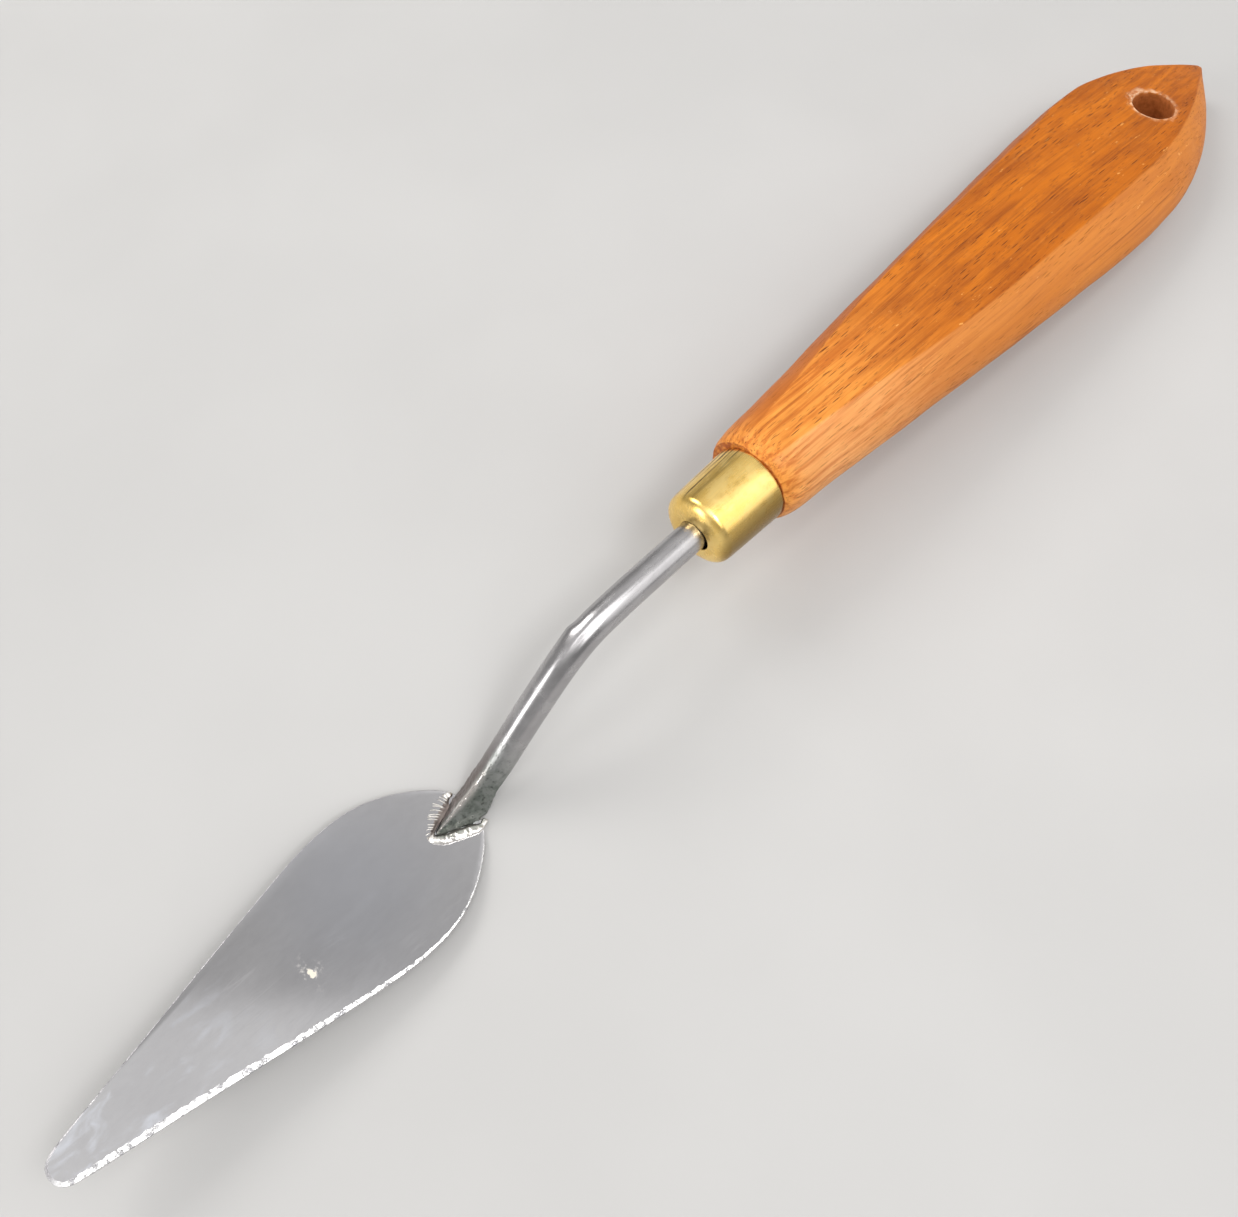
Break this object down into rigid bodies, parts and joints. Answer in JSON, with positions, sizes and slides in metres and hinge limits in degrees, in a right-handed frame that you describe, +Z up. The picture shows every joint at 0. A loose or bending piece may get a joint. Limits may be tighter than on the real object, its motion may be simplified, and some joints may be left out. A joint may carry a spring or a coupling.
{
  "type": "palette knife",
  "caption": "Painter's palette knife: a thin flexible tapered blade welded to a cranked steel neck, with a brass ferrule and a shaped wooden handle with a hanging hole.",
  "frame": {"origin": "bottom centre of the knife as it lies on a table, with the heel of the blade and the belly of the handle on the table and the tip in the air", "axes": "+X runs along the knife from the blade's tip to the butt of the handle, +Z is up, and Y = 0 is the knife's plane of symmetry"},
  "size_m": [0.212, 0.0244, 0.02],
  "materials": {
    "spring_steel": "satin ground spring steel, lightly scratched, with a bright ground edge",
    "neck_steel": "polished steel rod, slightly pitted and dull where the foot was heated",
    "weld_metal": "bright rippled weld metal",
    "ferrule_brass": "polished brass",
    "varnished_wood": "orange-brown hardwood with a worn clear varnish",
    "adhesive": "dull hardened resin, hidden in the handle"
  },
  "bodies": {
    "knife_body": {"handle": "varnished_wood", "ferrule": "ferrule_brass", "tang_adhesive": "adhesive", "shank": "neck_steel", "weld_bead": "weld_metal", "blade_root": "spring_steel"},
    "flexing_blade": {"blade": "spring_steel"}
  },
  "joints": [
    {"name": "blade_flex", "type": "hinge", "parent": "knife_body", "child": "flexing_blade", "pos_m": [-0.05751, 0, 0.00144], "axis": [0, 1, 0], "range_deg": [-8, 20], "stiffness_Nm_per_rad": 0.9}
  ]
}
